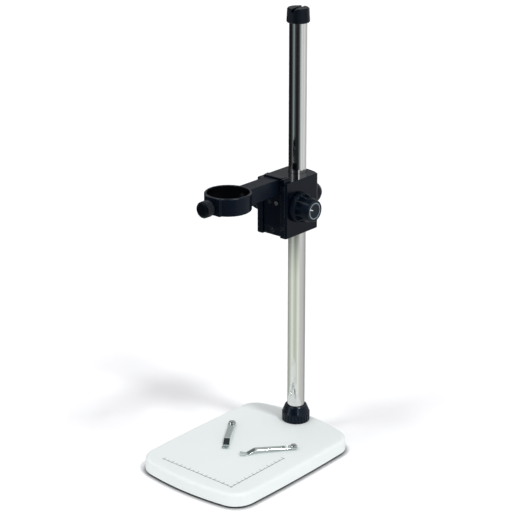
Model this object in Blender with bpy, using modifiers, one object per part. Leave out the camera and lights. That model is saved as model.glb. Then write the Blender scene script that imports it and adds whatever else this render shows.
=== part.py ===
"""Pillar stand for a handheld digital microscope.

A white base plate on four rubber feet carries a polished 16 mm column.  A
black focusing carriage clamps on the column; its rack-and-pinion slide moves
a short arm with a ring that holds the instrument.  Two sprung stage clips
swivel on the base plate.

Frame: metres, +Z up, origin on the table under the middle of the whole stand.
The arm and ring point to -Y (front), the focus knobs lie along X (left is -X),
the column clamp is on +Y.  Dimensions are in mm and count from the column
axis; the last step moves everything to the middle of the stand.
In names R is a radius, HALF_W a half width, and Z0 and Z1 are bottom and top.
"""
import math

import bpy
import bmesh
from mathutils import Matrix, Vector

MM = 0.001
SIDES = (("left", -1), ("right", 1))
SIDE_AXIS = {"left": "-X", "right": "X"}    # outwards on each side
SHARP_ANGLE = math.radians(35)              # edges steeper than this stay sharp

# ---------------------------------------------------------------- shared dimensions
FOOT_STAND = 1.5            # how far the feet hold the plate off the table
PLATE_T = 12.4
PLATE_TOP = FOOT_STAND + PLATE_T
PLATE_MID_X = 1.3           # the plate's middle, right of the column axis
PLATE_FRONT_Y = -155.0
COLUMN_R = 8.0

# carriage
BODY_Z0 = PLATE_TOP + 189.9
BODY_Z1 = PLATE_TOP + 241.2
BODY_FRONT = -36.15
CHANNEL_HALF_W = 10.4       # at the dovetail mouth
CHANNEL_FLOOR_HALF_W = 11.6
CHANNEL_LIP = -34.0
CHANNEL_FLOOR = -27.7
GIB_X0, GIB_X1 = 10.4, 15.0
SCREW_CUT_FRONT, SCREW_CUT_BACK = -45.0, -20.0      # reach of the screw hole cutters

# slide, rack and pinion
SLIDE_Z0, SLIDE_Z1 = PLATE_TOP + 198.5, PLATE_TOP + 244.8
SLIDE_FRONT, SLIDE_BACK = -34.5, -28.0
SLIDE_GAP = 0.3             # side clearance in the channel
RACK_HALF_W = 6.0
PINION_Y = -18.6
PINION_Z = PLATE_TOP + 216.2
PINION_LINE = (PINION_Y, PINION_Z)
PINION_CENTRE = (0, *PINION_LINE)
MODULE = 1.0
TEETH = 11
PITCH_R = MODULE * TEETH / 2
BACKLASH = 0.15             # taken off each tooth at the pitch line
PRESSURE_ANGLE = math.radians(20)
SHAFT_R = 2.5
SHAFT_BORE_R = SHAFT_R + 0.35

# screws
GIB_SCREW_X = 12.85
GIB_SCREW_Z = {"upper": PLATE_TOP + 236.2, "lower": PLATE_TOP + 198.7}
STOP_SCREW_Z = PLATE_TOP + 194.6
RACK_SCREW_X = 3.9
RACK_SCREW_Z = PLATE_TOP + 220.6
ARM_SCREW_Z = {"upper": PLATE_TOP + 240.4, "lower": PLATE_TOP + 232.6}
RING_SCREW_LINE = (0, PLATE_TOP + 236.9)

# column clamp
CLAMP_LINE = (0, PLATE_TOP + 217.0)
CLAMP_CENTRE = (0, *CLAMP_LINE)
CLAMP_KNOB_Y0, CLAMP_KNOB_Y1 = 14.4, 27.0

# arm and ring
ARM_Z0, ARM_Z1 = PLATE_TOP + 229.2, PLATE_TOP + 243.4
RING_Y = -93.5
RING_OUTER_R, RING_INNER_R = 20.6, 18.5
RING_Z0, RING_Z1 = ARM_Z0, PLATE_TOP + 245.0
THUMB_Z = PLATE_TOP + 236.7

# stage clips
CLIP_POS = {side: (PLATE_MID_X + sign * 36.9, -49.1) for side, sign in SIDES}

# ---------------------------------------------------------------- scene and materials
for old in list(bpy.data.objects):
    bpy.data.objects.remove(old, do_unlink=True)

PARTS = bpy.data.collections.new("microscope_stand")
CUTS = bpy.data.collections.new("cutters")
bpy.context.scene.collection.children.link(PARTS)
bpy.context.scene.collection.children.link(CUTS)

# look: (base colour, roughness, metallic)
LOOKS = {
    "white": ((0.80, 0.82, 0.82), 0.35, 0.0),
    "black": ((0.012, 0.016, 0.024), 0.42, 0.0),
    "plastic": ((0.010, 0.012, 0.016), 0.35, 0.0),
    "polished": ((0.78, 0.79, 0.78), 0.08, 1.0),
    "chrome": ((0.72, 0.75, 0.75), 0.12, 1.0),
    "steel": ((0.55, 0.56, 0.57), 0.30, 1.0),
    "brass": ((0.70, 0.52, 0.22), 0.30, 1.0),
    "nylon": ((0.75, 0.74, 0.68), 0.50, 0.0),
    "rubber": ((0.02, 0.02, 0.02), 0.80, 0.0),
}


def paint(obj, look):
    """Give a piece a material of its own."""
    colour, roughness, metallic = LOOKS[look]
    mat = bpy.data.materials.new(f"{obj.name}_{look}")
    mat.use_nodes = True
    shader = mat.node_tree.nodes["Principled BSDF"]
    shader.inputs["Base Color"].default_value = (*colour, 1.0)
    shader.inputs["Roughness"].default_value = roughness
    shader.inputs["Metallic"].default_value = metallic
    mat.diffuse_color = (*colour, 1.0)
    obj.data.materials.append(mat)


def shade_by_angle(obj):
    obj.data.shade_smooth()
    obj.data.set_sharp_from_angle(angle=SHARP_ANGLE)


def finish(obj, look):
    paint(obj, look)
    shade_by_angle(obj)


# ---------------------------------------------------------------- shape helpers
# rotations that lay a piece's own Z along an axis
TURN = {"Z": (0.0, 0.0, 0.0), "X": (0.0, math.pi / 2, 0.0), "Y": (-math.pi / 2, 0.0, 0.0),
        "-X": (0.0, -math.pi / 2, 0.0), "-Y": (math.pi / 2, 0.0, 0.0)}


def metres(point):
    return [c * MM for c in point]


def mesh_object(name, mesh, coll=PARTS):
    obj = bpy.data.objects.new(name, mesh)
    coll.objects.link(obj)
    return obj


def adopt_primitive(name, coll):
    """Name the primitive just added and move it to a collection."""
    obj = bpy.context.object
    obj.name = name
    obj.data.name = name
    for old in list(obj.users_collection):
        old.objects.unlink(obj)
    coll.objects.link(obj)
    return obj


def box(name, *spans, coll=CUTS):
    """Block from its (low, high) spans in x, y and z."""
    bpy.ops.mesh.primitive_cube_add(size=1.0)
    obj = adopt_primitive(name, coll)
    size = metres(high - low for low, high in spans)
    obj.data.transform(Matrix.Diagonal((*size, 1.0)))
    obj.location = metres((low + high) / 2 for low, high in spans)
    return obj


def rod(name, radius, span, axis, at, sides):
    """Round cutter along an axis; `at` holds the other two coordinates."""
    start, end = span
    bpy.ops.mesh.primitive_cylinder_add(vertices=sides, radius=radius * MM,
                                        depth=(end - start) * MM)
    obj = adopt_primitive(name, CUTS)
    mid = (start + end) / 2
    u, v = at
    obj.location = metres({"X": (mid, u, v), "Y": (u, mid, v), "Z": (u, v, mid)}[axis])
    obj.rotation_euler = TURN[axis]
    return obj


def turned(name, look, profile, steps, at=(0, 0, 0), axis="Z"):
    """Turned piece from (radius, station) points listed down the outer side.

    A profile that starts off the axis is a closed loop round a bore; one that
    starts on it also ends on it.  Stations run along `axis` from the origin `at`.
    """
    count = len(profile)
    edges = [(i, i + 1) for i in range(count - 1)]
    if profile[0][0] > 0:
        edges.append((count - 1, 0))
    mesh = bpy.data.meshes.new(name)
    mesh.from_pydata([(radius * MM, 0.0, z * MM) for radius, z in profile], edges, [])
    obj = mesh_object(name, mesh)
    obj.location = metres(at)
    obj.rotation_euler = TURN[axis]
    screw = obj.modifiers.new("turn", "SCREW")
    screw.axis = "Z"
    screw.angle = 2 * math.pi
    screw.steps = steps
    screw.render_steps = steps
    screw.use_merge_vertices = True
    screw.merge_threshold = 0.00001
    screw.use_smooth_shade = True
    paint(obj, look)
    return obj


def bar(inner, outer, low, high):
    """Profile of a plain tube, or of a solid bar when `inner` is 0."""
    return [(inner, high), (outer, high), (outer, low), (inner, low)]


def on_plate(profile):
    """Count a profile's stations from the top of the base plate."""
    return [(radius, PLATE_TOP + z) for radius, z in profile]


def slab(name, outline, z0, z1, coll=PARTS):
    """Flat XY outline, filled and given thickness, as a mesh."""
    curve = bpy.data.curves.new(name, "CURVE")
    curve.dimensions = "2D"
    curve.fill_mode = "BOTH"
    curve.extrude = (z1 - z0) / 2 * MM
    spline = curve.splines.new("POLY")
    spline.points.add(len(outline) - 1)
    for point, (x, y) in zip(spline.points, outline):
        point.co = (x * MM, y * MM, 0.0, 1.0)
    spline.use_cyclic_u = True
    source = bpy.data.objects.new(name + "_outline", curve)
    bpy.context.scene.collection.objects.link(source)
    bpy.context.view_layer.update()
    depsgraph = bpy.context.evaluated_depsgraph_get()
    mesh = bpy.data.meshes.new_from_object(source.evaluated_get(depsgraph))
    # weld the caps to the walls and clear the fill's inner edges
    bm = bmesh.new()
    bm.from_mesh(mesh)
    bmesh.ops.remove_doubles(bm, verts=bm.verts, dist=1e-6)
    bmesh.ops.recalc_face_normals(bm, faces=bm.faces)
    bmesh.ops.dissolve_limit(bm, angle_limit=math.radians(0.5), verts=bm.verts, edges=bm.edges)
    bm.to_mesh(mesh)
    bm.free()
    bpy.data.objects.remove(source, do_unlink=True)
    mesh.name = name
    obj = mesh_object(name, mesh, coll)
    obj.location = (0.0, 0.0, (z0 + z1) / 2 * MM)
    return obj


def bevel(obj, width, segments=2, angle=40):
    mod = obj.modifiers.new("edge", "BEVEL")
    mod.width = width * MM
    mod.segments = segments
    mod.limit_method = "ANGLE"
    mod.angle_limit = math.radians(angle)
    mod.use_clamp_overlap = True


def cut(obj, cutter, operation="DIFFERENCE"):
    cutter.hide_render = True
    cutter.display_type = "WIRE"
    mod = obj.modifiers.new("cut_" + cutter.name, "BOOLEAN")
    mod.operation = operation
    mod.solver = "EXACT"
    mod.object = cutter


def drill(obj, name, radius, span, axis, at, sides):
    cut(obj, rod("cut_" + name, radius, span, axis, at, sides))


def screw_hole(obj, screw, end, at, hole_r, sink_r, sink_span, sink_sides):
    """Hole along Y with a wider sink for the head; `end` tells twin holes apart."""
    drill(obj, f"{screw}_hole{end}", hole_r, (SCREW_CUT_FRONT, SCREW_CUT_BACK), "Y", at, 10)
    drill(obj, f"{screw}_sink{end}", sink_r, sink_span, "Y", at, sink_sides)


def cut_flutes(obj, name, tool, count, centre, axis):
    """Cut copies of a tool set round an axis, joined in one mesh."""
    mesh = tool.data
    mesh.transform(tool.matrix_basis)
    bpy.data.objects.remove(tool, do_unlink=True)
    to_centre = Matrix.Translation(metres(centre))
    bm = bmesh.new()
    for i in range(count):
        copy = mesh.copy()
        turn = Matrix.Rotation(2 * math.pi * i / count, 4, axis)
        copy.transform(to_centre @ turn @ to_centre.inverted())
        bm.from_mesh(copy)
        bpy.data.meshes.remove(copy)
    bpy.data.meshes.remove(mesh)
    joined = bpy.data.meshes.new(name)
    bm.to_mesh(joined)
    bm.free()
    cut(obj, mesh_object(name, joined, CUTS))


def cap_screw(name, look, head_r, head_h, shank_r, length, axis, at):
    """Socket screw; the head's outer face is at station 0, the shank runs to -length."""
    socket_r, socket_depth = head_r * 0.5, 0.45 * head_h
    turned(name, look,
           [(0, -socket_depth), (socket_r, -socket_depth), (socket_r, 0.0), (head_r - 0.2, 0.0),
            (head_r, -0.2), (head_r, -head_h), (shank_r, -head_h), (shank_r, -length),
            (0, -length)], 16, at, axis)


# ---------------------------------------------------------------- base
PLATE_HALF_W = 61.4
PLATE_SIDE_BOW = 2.2        # how far the sides fall back at the corners
PLATE_REAR_Y = 15.5
# bowed edges: (y at the middle, fall-back, |x| of that fall-back, corner radius,
# y direction into the plate)
FRONT_EDGE = (PLATE_FRONT_Y, 3.6, 45.0, 19.0, 1)
REAR_EDGE = (PLATE_REAR_Y, 6.2, 44.0, 18.0, -1)
PLATE_RIM_R = 3.4
LOWER_RIM_WEIGHT = 0.3      # lower rim bevel as a share of the upper one

FOOT_R = 7.0
FOOT_POS = {f"foot_{end}_{side}": (PLATE_MID_X + sign * 46.0, y)
            for end, y in (("front", -130.0), ("rear", -6.0)) for side, sign in SIDES}


def edge_y(edge, x):
    y, bow, bow_x, _, inward = edge
    return y + inward * bow * (x / bow_x) ** 2


def plate_corner(edge):
    """Corner arc tangent to the bowed edge and the side.

    Returns the x where it meets the edge, the edge's angle there and the
    y of the arc's centre.
    """
    _, bow, bow_x, radius, inward = edge
    x = PLATE_HALF_W - radius
    for _ in range(20):
        angle = math.atan(2 * bow * x / bow_x ** 2)
        x = PLATE_HALF_W - radius + radius * math.sin(angle)
    return x, angle, edge_y(edge, x) + inward * radius * math.cos(angle)


def corner_arc(radius, centre_y, start, end):
    angles = [start + (end - start) * i / 7 for i in range(8)]
    return [(PLATE_HALF_W - radius + radius * math.cos(a), centre_y + radius * math.sin(a))
            for a in angles]


def plate_outline():
    """Right half from the front centre round to the rear centre, then mirrored."""
    front_x, front_angle, front_cy = plate_corner(FRONT_EDGE)
    rear_x, rear_angle, rear_cy = plate_corner(REAR_EDGE)
    front = [front_x * i / 5 for i in range(5)]
    rear = [rear_x * i / 5 for i in range(4, -1, -1)]
    half = [(x, edge_y(FRONT_EDGE, x)) for x in front]
    half += corner_arc(FRONT_EDGE[3], front_cy, -math.pi / 2 + front_angle, 0.0)
    half += [(PLATE_HALF_W, front_cy + (rear_cy - front_cy) * i / 6) for i in range(1, 6)]
    half += corner_arc(REAR_EDGE[3], rear_cy, 0.0, math.pi / 2 - rear_angle)
    half += [(x, edge_y(REAR_EDGE, x)) for x in rear]
    # the sides bow outwards a little, most at their middle
    mid, reach = (front_cy + rear_cy) / 2, (PLATE_REAR_Y - PLATE_FRONT_Y) / 2
    half = [(x * (1 - PLATE_SIDE_BOW / PLATE_HALF_W * ((y - mid) / reach) ** 2), y)
            for x, y in half]
    whole = half + [(-x, y) for x, y in reversed(half[1:-1])]
    return [(x + PLATE_MID_X, y) for x, y in whole]


def weight_rims(mesh):
    """Bevel weights: full on the upper rim, light on the lower one."""
    bm = bmesh.new()
    bm.from_mesh(mesh)
    weight = bm.edges.layers.float.new("bevel_weight_edge")
    top = max(vert.co.z for vert in bm.verts)
    low = min(vert.co.z for vert in bm.verts)
    for edge in bm.edges:
        heights = [vert.co.z for vert in edge.verts]
        if min(heights) > top - 1e-6:
            edge[weight] = 1.0
        elif max(heights) < low + 1e-6:
            edge[weight] = LOWER_RIM_WEIGHT
    bm.to_mesh(mesh)
    bm.free()


def make_base_plate():
    base = slab("base_plate", plate_outline(), FOOT_STAND, PLATE_TOP)
    weight_rims(base.data)
    rim = base.modifiers.new("rim", "BEVEL")
    rim.width = PLATE_RIM_R * MM
    rim.segments = 4
    rim.limit_method = "WEIGHT"
    drill(base, "column_seat", COLUMN_R + 0.3, (PLATE_TOP - 5.0, PLATE_TOP + 5.0), "Z", (0, 0), 24)
    drill(base, "column_bolt", 3.4, (0.0, PLATE_TOP), "Z", (0, 0), 12)
    drill(base, "bolt_head", 9.0, (-2.0, 6.5), "Z", (0, 0), 20)
    for name, pos in FOOT_POS.items():
        drill(base, name, FOOT_R + 0.3, (-1.0, FOOT_STAND + 2.0), "Z", pos, 16)
    for side, pos in CLIP_POS.items():
        drill(base, "clip_hole_" + side, 1.6, (PLATE_TOP - 9.0, PLATE_TOP + 2.0), "Z", pos, 10)
    finish(base, "white")


def make_feet():
    for name, pos in FOOT_POS.items():
        turned(name, "rubber",
               [(0, 3.2), (FOOT_R - 0.2, 3.2), (FOOT_R, 1.6), (FOOT_R - 1.0, 0.0), (0, 0.0)],
               16, (*pos, 0))


# ---------------------------------------------------------------- column
COLUMN_BORE_R = 6.5
COLUMN_FOOT = PLATE_TOP - 4.7       # the tube stands sunk in the plate
COLUMN_TOP = PLATE_TOP + 385.5
COLLAR_R = 12.9
CAP_R = 10.5
CAP_TOP = PLATE_TOP + 391.5
CAP_BOTTOM = CAP_TOP - 13.0


def make_column():
    """Tube, with the plug, washer and bolt that draw it down on the plate."""
    turned("column_tube", "polished",
           [(COLUMN_BORE_R, COLUMN_TOP), (COLUMN_R - 0.4, COLUMN_TOP),
            (COLUMN_R, COLUMN_TOP - 0.4), (COLUMN_R, COLUMN_FOOT),
            (COLUMN_BORE_R, COLUMN_FOOT)], 40)
    turned("column_plug", "steel", on_plate(bar(3.3, 6.2, -4.6, 20.0)), 16)
    turned("column_washer", "steel", bar(3.4, 8.0, 5.0, 6.2), 16)
    turned("column_bolt", "steel",
           on_plate([(0, 15.0), (2.7, 15.0), (3.0, 14.4)])
           + [(3.0, 4.7), (5.4, 4.7), (5.5, 4.2), (4.8, 2.4), (2.6, 2.3), (2.5, 3.6), (0, 3.6)],
           12)


def make_collar_nut():
    """Fluted nut at the foot of the column."""
    collar = turned("collar_nut", "plastic",
                    on_plate([(8.35, 15.2), (9.7, 15.2), (10.2, 14.7), (12.3, 9.4),
                              (COLLAR_R, 8.2), (COLLAR_R, 0.3), (8.35, 0.3)]), 40)
    tool = rod("tmp", 0.85, (PLATE_TOP - 1.0, PLATE_TOP + 7.6), "Z", (COLLAR_R + 0.25, 0), 6)
    cut_flutes(collar, "cut_collar_flutes", tool, 26, (0, 0, 0), "Z")


def make_top_cap():
    """Slotted cap over the column's end."""
    fit_r, fit_z = COLUMN_R + 0.3, COLUMN_TOP + 0.3
    cap = turned("top_cap", "plastic",
                 [(0, CAP_TOP), (9.1, CAP_TOP), (9.9, CAP_TOP - 0.9), (CAP_R, CAP_BOTTOM + 0.8),
                  (9.8, CAP_BOTTOM), (fit_r, CAP_BOTTOM), (fit_r, fit_z), (0, fit_z)], 32)
    slot = box("cut_cap_slot", (-1.7, 1.7), (-15.0, 15.0), (CAP_TOP - 3.6, CAP_TOP + 2.0))
    slot.rotation_euler = (0.0, 0.0, math.radians(11.5))
    cut(cap, slot)


# ---------------------------------------------------------------- carriage
BODY_HALF_W = 17.2
BODY_CHAMFER = 1.5
BODY_BACK = 12.6            # crown of the curved back
BODY_BACK_SIDE = 8.0        # back corner
BODY_CUT_SPAN = (BODY_Z0 - 5.0, BODY_Z1 + 5.0)
BODY_CUT_FRONT = -40.0
LINER_OUTER_R, LINER_INNER_R = 9.6, 8.3
LINER_SEAT_R = 9.9
# (bottom, top) above the plate
LINER_SPANS = {"lower": (190.8, 205.2), "upper": (223.2, 232.3)}


def dovetail(front, back, side_gap=0.0, back_gap=0.0):
    """Section of the channel, or of a piece that fills it with some clearance."""
    mouth = CHANNEL_HALF_W - side_gap
    floor = CHANNEL_FLOOR_HALF_W - back_gap
    return [(-mouth, front), (mouth, front), (mouth, CHANNEL_LIP),
            (floor, back), (-floor, back), (-mouth, CHANNEL_LIP)]


def body_outline():
    """Square front with chamfered corners, curved back."""
    flat_x, chamfer_y = BODY_HALF_W - BODY_CHAMFER, BODY_FRONT + BODY_CHAMFER
    side_y = BODY_BACK_SIDE - 1.2
    sag = BODY_BACK - BODY_BACK_SIDE
    radius = (BODY_HALF_W ** 2 + sag ** 2) / (2 * sag)
    half_angle = math.asin(BODY_HALF_W / radius)
    points = [(-flat_x, BODY_FRONT), (flat_x, BODY_FRONT), (BODY_HALF_W, chamfer_y),
              (BODY_HALF_W, side_y)]
    for i in range(9):
        # the arc stops a little short of the corners
        angle = half_angle * 0.95 * (1 - i / 4)
        points.append((radius * math.sin(angle), BODY_BACK - radius + radius * math.cos(angle)))
    return points + [(-BODY_HALF_W, side_y), (-BODY_HALF_W, chamfer_y)]


def make_housing():
    house = slab("carriage_housing", body_outline(), BODY_Z0, BODY_Z1)
    bevel(house, 0.5, 1, 60)
    # dovetail channel down the front, with the rebate for the gib rail on its +X side
    cut(house, slab("cut_channel", dovetail(BODY_CUT_FRONT, CHANNEL_FLOOR), *BODY_CUT_SPAN, CUTS))
    cut(house, box("cut_gib_rebate", (9.5, GIB_X1 + 0.3), (BODY_CUT_FRONT, CHANNEL_FLOOR + 0.3),
                   BODY_CUT_SPAN))
    # rack slot and pinion chamber behind the channel
    room = (-RACK_HALF_W - 0.4, RACK_HALF_W + 0.4)
    cut(house, box("cut_rack_slot", room, (CHANNEL_FLOOR - 1.0, -23.1),
                   (SLIDE_Z0, PLATE_TOP + 237.6)))
    drill(house, "pinion_room", 7.0, room, "X", PINION_LINE, 24)
    drill(house, "shaft_holes", 4.5, (-20.0, 20.0), "X", PINION_LINE, 16)
    # boss for the clamp screw, bore for the column
    cut(house, rod("add_clamp_boss", 5.4, (9.0, 15.5), "Y", CLAMP_LINE, 24), "UNION")
    drill(house, "bore", LINER_SEAT_R, (BODY_CUT_SPAN[0], PLATE_TOP + 232.6), "Z", (0, 0), 32)
    drill(house, "bore_top", COLUMN_R + 0.4, (PLATE_TOP + 221.2, BODY_CUT_SPAN[1]),
          "Z", (0, 0), 32)
    drill(house, "pad_hole", 3.3, (5.0, 20.0), "Y", CLAMP_LINE, 16)
    for end, z in GIB_SCREW_Z.items():
        drill(house, "gib_thread_" + end, 1.8, (-30.0, -24.4), "Y", (GIB_SCREW_X, z), 8)
    drill(house, "stop_thread", 1.6, (-30.0, -21.0), "Y", (0, STOP_SCREW_Z), 8)
    finish(house, "black")


def make_gib_rail():
    gib = slab("gib_rail",
               [(GIB_X0, BODY_FRONT), (GIB_X1, BODY_FRONT), (GIB_X1, CHANNEL_FLOOR),
                (CHANNEL_FLOOR_HALF_W, CHANNEL_FLOOR), (GIB_X0, CHANNEL_LIP)],
               BODY_Z0 + 0.2, PLATE_TOP + 244.7)
    # rounded top end: a block with the round crown taken out of it
    arch = box("cut_gib_arch", (GIB_X0 - 3.0, GIB_X1 + 3.0), (-40.0, -20.0),
               (PLATE_TOP + 242.6, PLATE_TOP + 251.2))
    drill(arch, "gib_crown", (GIB_X1 - GIB_X0) / 2 + 0.35, (-45.0, -15.0), "Y",
          ((GIB_X0 + GIB_X1) / 2, PLATE_TOP + 242.2), 20)
    cut(gib, arch)
    for end, z in GIB_SCREW_Z.items():
        screw_hole(gib, "gib", "_" + end, (GIB_SCREW_X, z), hole_r=1.3, sink_r=1.95,
                   sink_span=(SCREW_CUT_FRONT, -34.0), sink_sides=20)
    finish(gib, "black")
    for end, z in GIB_SCREW_Z.items():
        cap_screw("gib_screw_" + end, "steel", head_r=1.65, head_h=1.6, shank_r=0.95,
                  length=10.9, axis="-Y", at=(GIB_SCREW_X, -35.9, z))


def make_stop_plate():
    """Short block closing the channel below the slide."""
    stop = slab("stop_plate", dovetail(SLIDE_FRONT, SLIDE_BACK, SLIDE_GAP, SLIDE_GAP),
                PLATE_TOP + 190.6, PLATE_TOP + 198.1)
    bevel(stop, 0.25, 1, 60)
    screw_hole(stop, "stop", "", (0, STOP_SCREW_Z), hole_r=1.4, sink_r=2.35,
               sink_span=(SCREW_CUT_FRONT, -32.6), sink_sides=16)
    finish(stop, "black")
    cap_screw("stop_plate_screw", "steel", head_r=2.0, head_h=1.6, shank_r=1.05,
              length=12.5, axis="-Y", at=(0, -34.6, STOP_SCREW_Z))


def make_bushes():
    """Brass bushes for the pinion shaft, nylon liners for the column."""
    for side, axis in SIDE_AXIS.items():
        turned("shaft_bush_" + side, "brass", bar(2.8, 4.1, 7.0, 16.2), 16, PINION_CENTRE, axis)
    for end, span in LINER_SPANS.items():
        turned("bore_bush_" + end, "nylon",
               on_plate(bar(LINER_INNER_R, LINER_OUTER_R, *span)), 32)


# ---------------------------------------------------------------- slide, rack and pinion
RACK_BACK = -27.7           # the toothless side, on the slide
RACK_Z0, RACK_Z1 = PLATE_TOP + 199.0, PLATE_TOP + 224.0
RACK_ADDENDUM, RACK_DEDENDUM = 0.60, 1.15
PINION_ADDENDUM, PINION_DEDENDUM = 0.90, 0.85


def make_slide():
    slide = slab("slide", dovetail(SLIDE_FRONT, SLIDE_BACK, SLIDE_GAP, 0.35), SLIDE_Z0, SLIDE_Z1)
    bevel(slide, 0.25, 1, 60)
    for side, sign in SIDES:
        screw_hole(slide, "rack", "_" + side, (sign * RACK_SCREW_X, RACK_SCREW_Z), hole_r=1.3,
                   sink_r=2.2, sink_span=(SCREW_CUT_FRONT, -32.4), sink_sides=20)
    for end, z in ARM_SCREW_Z.items():
        screw_hole(slide, "arm", "_" + end, (0, z), hole_r=1.8, sink_r=3.1,
                   sink_span=(-31.2, SCREW_CUT_BACK), sink_sides=12)
    finish(slide, "black")


def rack_outline():
    """(PINION_Z - z, y - PINION_Y) pairs: straight back, teeth facing the pinion."""
    pitch = math.pi * MODULE
    half_tooth = pitch / 4 - BACKLASH / 2
    tip = half_tooth - RACK_ADDENDUM * math.tan(PRESSURE_ANGLE)
    root = half_tooth + RACK_DEDENDUM * math.tan(PRESSURE_ANGLE)
    tip_y, root_y = -PITCH_R + RACK_ADDENDUM, -PITCH_R - RACK_DEDENDUM
    back_y = RACK_BACK - PINION_Y
    low, high = RACK_Z0 - PINION_Z, RACK_Z1 - PINION_Z
    points = [(-low, back_y), (-low, root_y)]
    for k in range(-5, 3):
        z = k * pitch
        points += [(-(z - root), root_y), (-(z - tip), tip_y),
                   (-(z + tip), tip_y), (-(z + root), root_y)]
    return points + [(-high, root_y), (-high, back_y)]


def lay_on_pinion_axis(obj):
    obj.location = metres(PINION_CENTRE)
    obj.rotation_euler = TURN["X"]


def make_rack():
    rack = slab("rack", rack_outline(), -RACK_HALF_W, RACK_HALF_W)
    lay_on_pinion_axis(rack)
    for side, sign in SIDES:
        x = sign * RACK_SCREW_X
        drill(rack, "rack_thread_" + side, 1.3, (-30.0, -25.75), "Y", (x, RACK_SCREW_Z), 10)
        cap_screw("rack_screw_" + side, "chrome", head_r=1.9, head_h=1.7, shank_r=0.95,
                  length=8.4, axis="-Y", at=(x, -34.35, RACK_SCREW_Z))
    finish(rack, "steel")


def gear_outline():
    """Involute teeth; below the base circle the flanks are radial."""
    base_r = PITCH_R * math.cos(PRESSURE_ANGLE)
    half_tooth = (math.pi * MODULE / 2 - BACKLASH) / (2 * PITCH_R)

    def involute(angle):
        return math.tan(angle) - angle

    def half_angle(radius):
        angle = math.acos(base_r / max(radius, base_r))
        return half_tooth + involute(PRESSURE_ANGLE) - involute(angle)

    radii = [PITCH_R - PINION_DEDENDUM, base_r, PITCH_R + 0.15, PITCH_R + PINION_ADDENDUM]
    flank = [(radius, -half_angle(radius)) for radius in radii]
    flank += [(radius, half_angle(radius)) for radius in reversed(radii)]
    points = []
    for k in range(TEETH):
        # a tooth space faces the rack (-Y), so teeth start half a pitch away
        mid = -math.pi / 2 + (k + 0.5) * 2 * math.pi / TEETH
        points += [(radius * math.cos(mid + turn), radius * math.sin(mid + turn))
                   for radius, turn in flank]
    return points


def make_pinion():
    gear = slab("pinion_gear", gear_outline(), -5.6, 5.6)
    lay_on_pinion_axis(gear)
    drill(gear, "gear_bore", SHAFT_BORE_R, (-10.0, 10.0), "X", PINION_LINE, 16)
    finish(gear, "brass")
    turned("pinion_shaft", "steel", bar(0, SHAFT_R, -33.2, 33.2), 16, PINION_CENTRE, "X")


# ---------------------------------------------------------------- focus knobs
SKIRT_X0, SKIRT_X1, FACE_X = 17.7, 21.3, 35.0       # distances out from the middle
SKIRT_R, NECK_R = 13.8, 10.1
CONE_X0, CONE_X1 = SKIRT_X1 + 0.9, FACE_X - 1.1     # fluted cone, wide end inwards
CONE_R = SKIRT_R - 1.0                              # its wide end
FLUTE_LIFT = 2.30           # flute axis above the middle of the cone's side


def knob_flute_tool(sign):
    """Rod lying along the cone's side above the pinion axis."""
    slope = math.atan2(CONE_R - NECK_R, CONE_X1 - CONE_X0)
    tool = rod("tmp", 2.9, (-6.6, 6.6), "Z", (0, 0), 10)
    tool.data.transform(Matrix.Rotation(-(math.pi / 2 + slope), 4, "Y"))
    if sign < 0:
        tool.data.transform(Matrix.Diagonal((-1.0, 1.0, 1.0, 1.0)))
        tool.data.flip_normals()
    mid_x = (FACE_X + SKIRT_X1) / 2 + 0.9
    mid_r = (CONE_R + NECK_R) / 2
    tool.location = metres((sign * mid_x, PINION_Y, PINION_Z + mid_r + FLUTE_LIFT))
    return tool


def make_focus_knob(side, sign):
    axis = SIDE_AXIS[side]
    knob = turned("focus_knob_" + side, "plastic",
                  [(SHAFT_BORE_R, FACE_X - 0.7), (NECK_R - 0.5, FACE_X - 0.7),
                   (NECK_R, CONE_X1), (CONE_R, CONE_X0), (SKIRT_R - 0.25, SKIRT_X1 + 0.35),
                   (SKIRT_R, SKIRT_X1 - 0.4), (SKIRT_R, SKIRT_X0 + 0.4),
                   (SKIRT_R - 0.4, SKIRT_X0), (SHAFT_BORE_R, SKIRT_X0)],
                  36, PINION_CENTRE, axis)
    cut_flutes(knob, "cut_knob_flutes_" + side, knob_flute_tool(sign), 12, PINION_CENTRE, "X")
    turned("knob_trim_ring_" + side, "chrome",
           [(8.4, FACE_X + 0.5), (8.6, FACE_X + 0.75), (9.1, FACE_X + 0.75),
            (9.6, FACE_X + 0.25), (9.6, FACE_X - 0.4), (8.4, FACE_X - 0.4)],
           32, PINION_CENTRE, axis)
    turned("knob_face_" + side, "plastic", bar(0, 8.1, FACE_X - 0.4, FACE_X + 0.4),
           32, PINION_CENTRE, axis)


# ---------------------------------------------------------------- column clamp
CLAMP_KNOB_R = 9.9


def make_column_clamp():
    """Pad on the column, screw, and the fluted knob that turns it."""
    turned("clamp_pad", "nylon", [(0, 12.6), (3.0, 12.6), (3.0, 8.9), (2.4, 8.3), (0, 8.3)],
           16, CLAMP_CENTRE, "Y")
    turned("clamp_screw", "steel", bar(0, 3.0, 12.9, 23.2), 16, CLAMP_CENTRE, "Y")
    near, far, radius = CLAMP_KNOB_Y0, CLAMP_KNOB_Y1, CLAMP_KNOB_R
    knob = turned("clamp_knob", "plastic",
                  [(0, far - 0.5), (6.6, far), (7.3, far - 0.3), (radius - 0.3, far - 4.2),
                   (radius, far - 4.8), (radius, near + 0.6), (radius - 0.6, near), (6.0, near),
                   (6.0, 16.1), (3.35, 16.1), (3.35, 23.5), (0, 23.5)],
                  32, CLAMP_CENTRE, "Y")
    tool = rod("tmp", 0.95, (near - 1.0, far + 1.0), "Y", (radius + 0.35, CLAMP_LINE[1]), 6)
    cut_flutes(knob, "cut_clamp_flutes", tool, 14, CLAMP_CENTRE, "Y")


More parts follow.
